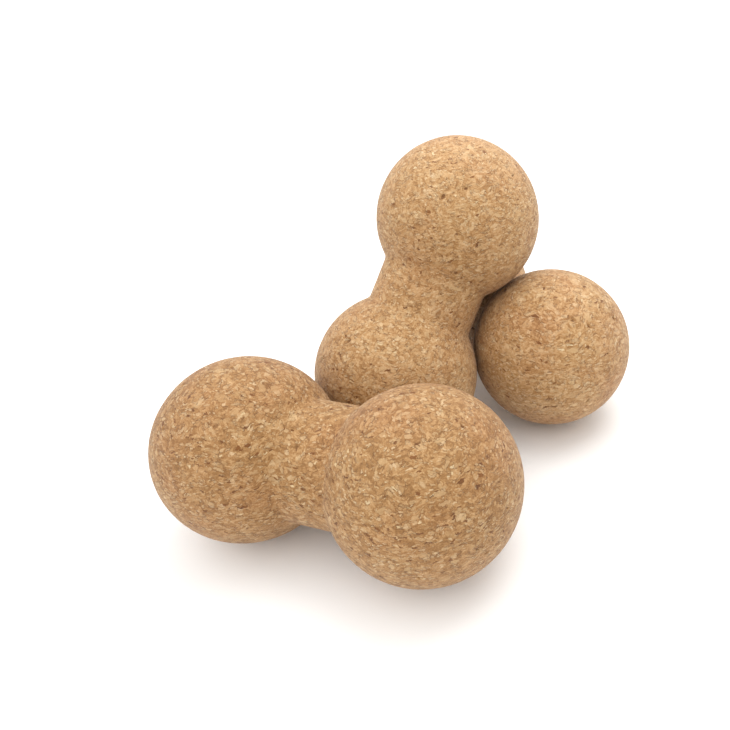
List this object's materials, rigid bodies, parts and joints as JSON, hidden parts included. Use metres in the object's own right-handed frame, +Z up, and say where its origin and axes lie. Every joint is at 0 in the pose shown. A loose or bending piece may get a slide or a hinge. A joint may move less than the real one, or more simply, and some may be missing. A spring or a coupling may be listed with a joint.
{
  "type": "massage peanut set",
  "caption": "Loose cork massage peanuts, each a turned block with a ball at both ends and a straight neck between them for the spine.",
  "frame": {"origin": "on the floor, at the middle of the space that the set takes up", "axes": "+Z up, +X along the front peanut from its left ball to its right, +Y from the front peanut to the rear one"},
  "size_m": [0.1508, 0.1968, 0.1172],
  "materials": {
    "front_cork": "sanded agglomerated cork, matte",
    "leaning_cork": "sanded agglomerated cork, matte",
    "rear_cork": "sanded agglomerated cork, matte"
  },
  "bodies": {
    "front": {"front_peanut": "front_cork"},
    "leaning": {"leaning_peanut": "leaning_cork"},
    "rear": {"rear_peanut": "rear_cork"}
  },
  "joints": [
    {"name": "leaning_lift", "type": "slide", "parent": "front", "child": "leaning", "axis": [0, 0, 1], "range_m": [0, 0.15]},
    {"name": "rear_pull", "type": "slide", "parent": "front", "child": "rear", "axis": [0.5868, 0.8097, 0], "range_m": [0, 0.1]}
  ]
}
